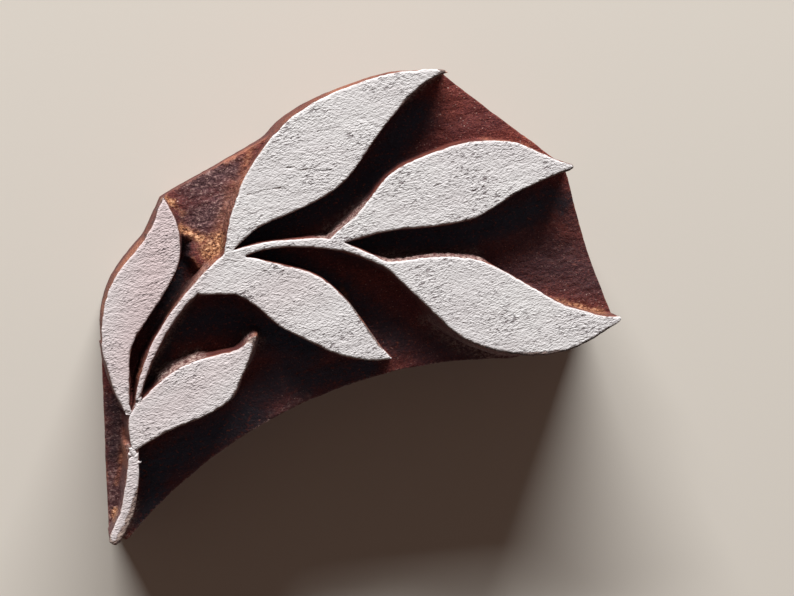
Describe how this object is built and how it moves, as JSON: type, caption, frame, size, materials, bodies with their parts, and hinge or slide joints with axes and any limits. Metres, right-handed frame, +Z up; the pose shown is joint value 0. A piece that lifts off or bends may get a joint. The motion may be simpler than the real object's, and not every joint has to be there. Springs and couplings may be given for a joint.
{
  "type": "pottery stamp",
  "caption": "Hand-carved hardwood stamp: a leafy sprig stands up from a cut-away block, its printing face covered with a thin, chipped white ground coat.",
  "frame": {"origin": "on the flat back, under the middle of the block's box", "axes": "+X along the grain and the length of the sprig, +Z up out of the printing face"},
  "size_m": [0.1278, 0.0748, 0.032],
  "materials": {
    "oiled_hardwood": "satin",
    "white_ground": "matte"
  },
  "bodies": {
    "root": {"carved_block": "oiled_hardwood", "sprig_coat": "white_ground", "left_leaf_coat": "white_ground", "low_leaf_coat": "white_ground", "stem_end_coat": "white_ground"}
  },
  "joints": []
}
